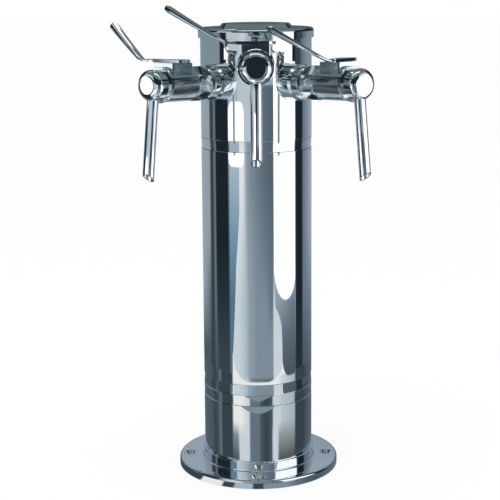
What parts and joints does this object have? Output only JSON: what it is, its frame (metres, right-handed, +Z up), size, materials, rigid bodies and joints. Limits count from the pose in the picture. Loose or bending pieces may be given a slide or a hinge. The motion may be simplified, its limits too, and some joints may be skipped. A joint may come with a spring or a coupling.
{
  "type": "drink tower dispenser",
  "caption": "Polished column drink tower on a bolted round flange, with a lift-off cap and ball-valve taps that have bent levers and slanted spouts.",
  "frame": {"origin": "centre of the base flange's underside, on the bar top", "axes": "+Z up along the column, the middle tap faces -Y, +X to the viewer's right"},
  "size_m": [0.227, 0.2259, 0.4352],
  "materials": {
    "shell_chrome": "mirror-polished stainless steel",
    "trim_chrome": "mirror-polished stainless steel bands",
    "tap_chrome": "chrome-plated brass, mirror bright",
    "lever_chrome": "chrome-plated, bright with soft edges",
    "inner_steel": "plain drawn stainless steel",
    "plain_brass": "plain machined brass",
    "black_rubber": "matte black rubber",
    "white_seat": "white low-friction plastic"
  },
  "bodies": {
    "column": {"base_flange": "shell_chrome", "base_gasket": "black_rubber", "inner_tube": "inner_steel", "lower_sleeve": "shell_chrome", "lower_trim_ring": "trim_chrome", "upper_trim_ring": "trim_chrome", "middle_sleeve": "shell_chrome", "top_trim_ring": "trim_chrome", "upper_sleeve": "shell_chrome", "lock_collars": "tap_chrome", "saddle_washers": "inner_steel", "shank_nuts": "inner_steel", "coupling_seals": "black_rubber", "valve_seats": "white_seat", "stem_bushes": "plain_brass", "tube_guide": "inner_steel", "left_escutcheon": "tap_chrome", "left_shank": "inner_steel", "left_coupling_nut": "tap_chrome", "left_tap_body": "tap_chrome", "left_face_ring": "tap_chrome", "left_nozzle": "tap_chrome", "left_spout": "tap_chrome", "left_elbow": "plain_brass", "left_inlet_tube": "inner_steel", "centre_escutcheon": "tap_chrome", "centre_shank": "inner_steel", "centre_coupling_nut": "tap_chrome", "centre_tap_body": "tap_chrome", "centre_face_ring": "tap_chrome", "centre_nozzle": "tap_chrome", "centre_spout": "tap_chrome", "centre_elbow": "plain_brass", "centre_inlet_tube": "inner_steel", "right_escutcheon": "tap_chrome", "right_shank": "inner_steel", "right_coupling_nut": "tap_chrome", "right_tap_body": "tap_chrome", "right_face_ring": "tap_chrome", "right_nozzle": "tap_chrome", "right_spout": "tap_chrome", "right_elbow": "plain_brass", "right_inlet_tube": "inner_steel"},
    "cap": {"cap": "shell_chrome", "cap_grip_ring": "black_rubber"},
    "left_handle": {"left_lever": "lever_chrome", "left_lever_screw": "inner_steel", "left_stem": "inner_steel", "left_valve_ball": "inner_steel"},
    "centre_handle": {"centre_lever": "lever_chrome", "centre_lever_screw": "inner_steel", "centre_stem": "inner_steel", "centre_valve_ball": "inner_steel"},
    "right_handle": {"right_lever": "lever_chrome", "right_lever_screw": "inner_steel", "right_stem": "inner_steel", "right_valve_ball": "inner_steel"}
  },
  "joints": [
    {"name": "cap_lift", "type": "slide", "parent": "column", "child": "cap", "axis": [0, 0, 1], "range_m": [0, 0.03]},
    {"name": "left_lever_turn", "type": "hinge", "parent": "column", "child": "left_handle", "pos_m": [-0.07054, -0.08868, 0.38679], "axis": [0.0217, 0.0273, 0.9994], "range_deg": [0, 90]},
    {"name": "centre_lever_turn", "type": "hinge", "parent": "column", "child": "centre_handle", "pos_m": [0, -0.11331, 0.40279], "axis": [0, 0.0349, 0.9994], "range_deg": [0, 90]},
    {"name": "right_lever_turn", "type": "hinge", "parent": "column", "child": "right_handle", "pos_m": [0.07054, -0.08868, 0.38679], "axis": [-0.0217, 0.0273, 0.9994], "range_deg": [0, 90]}
  ]
}
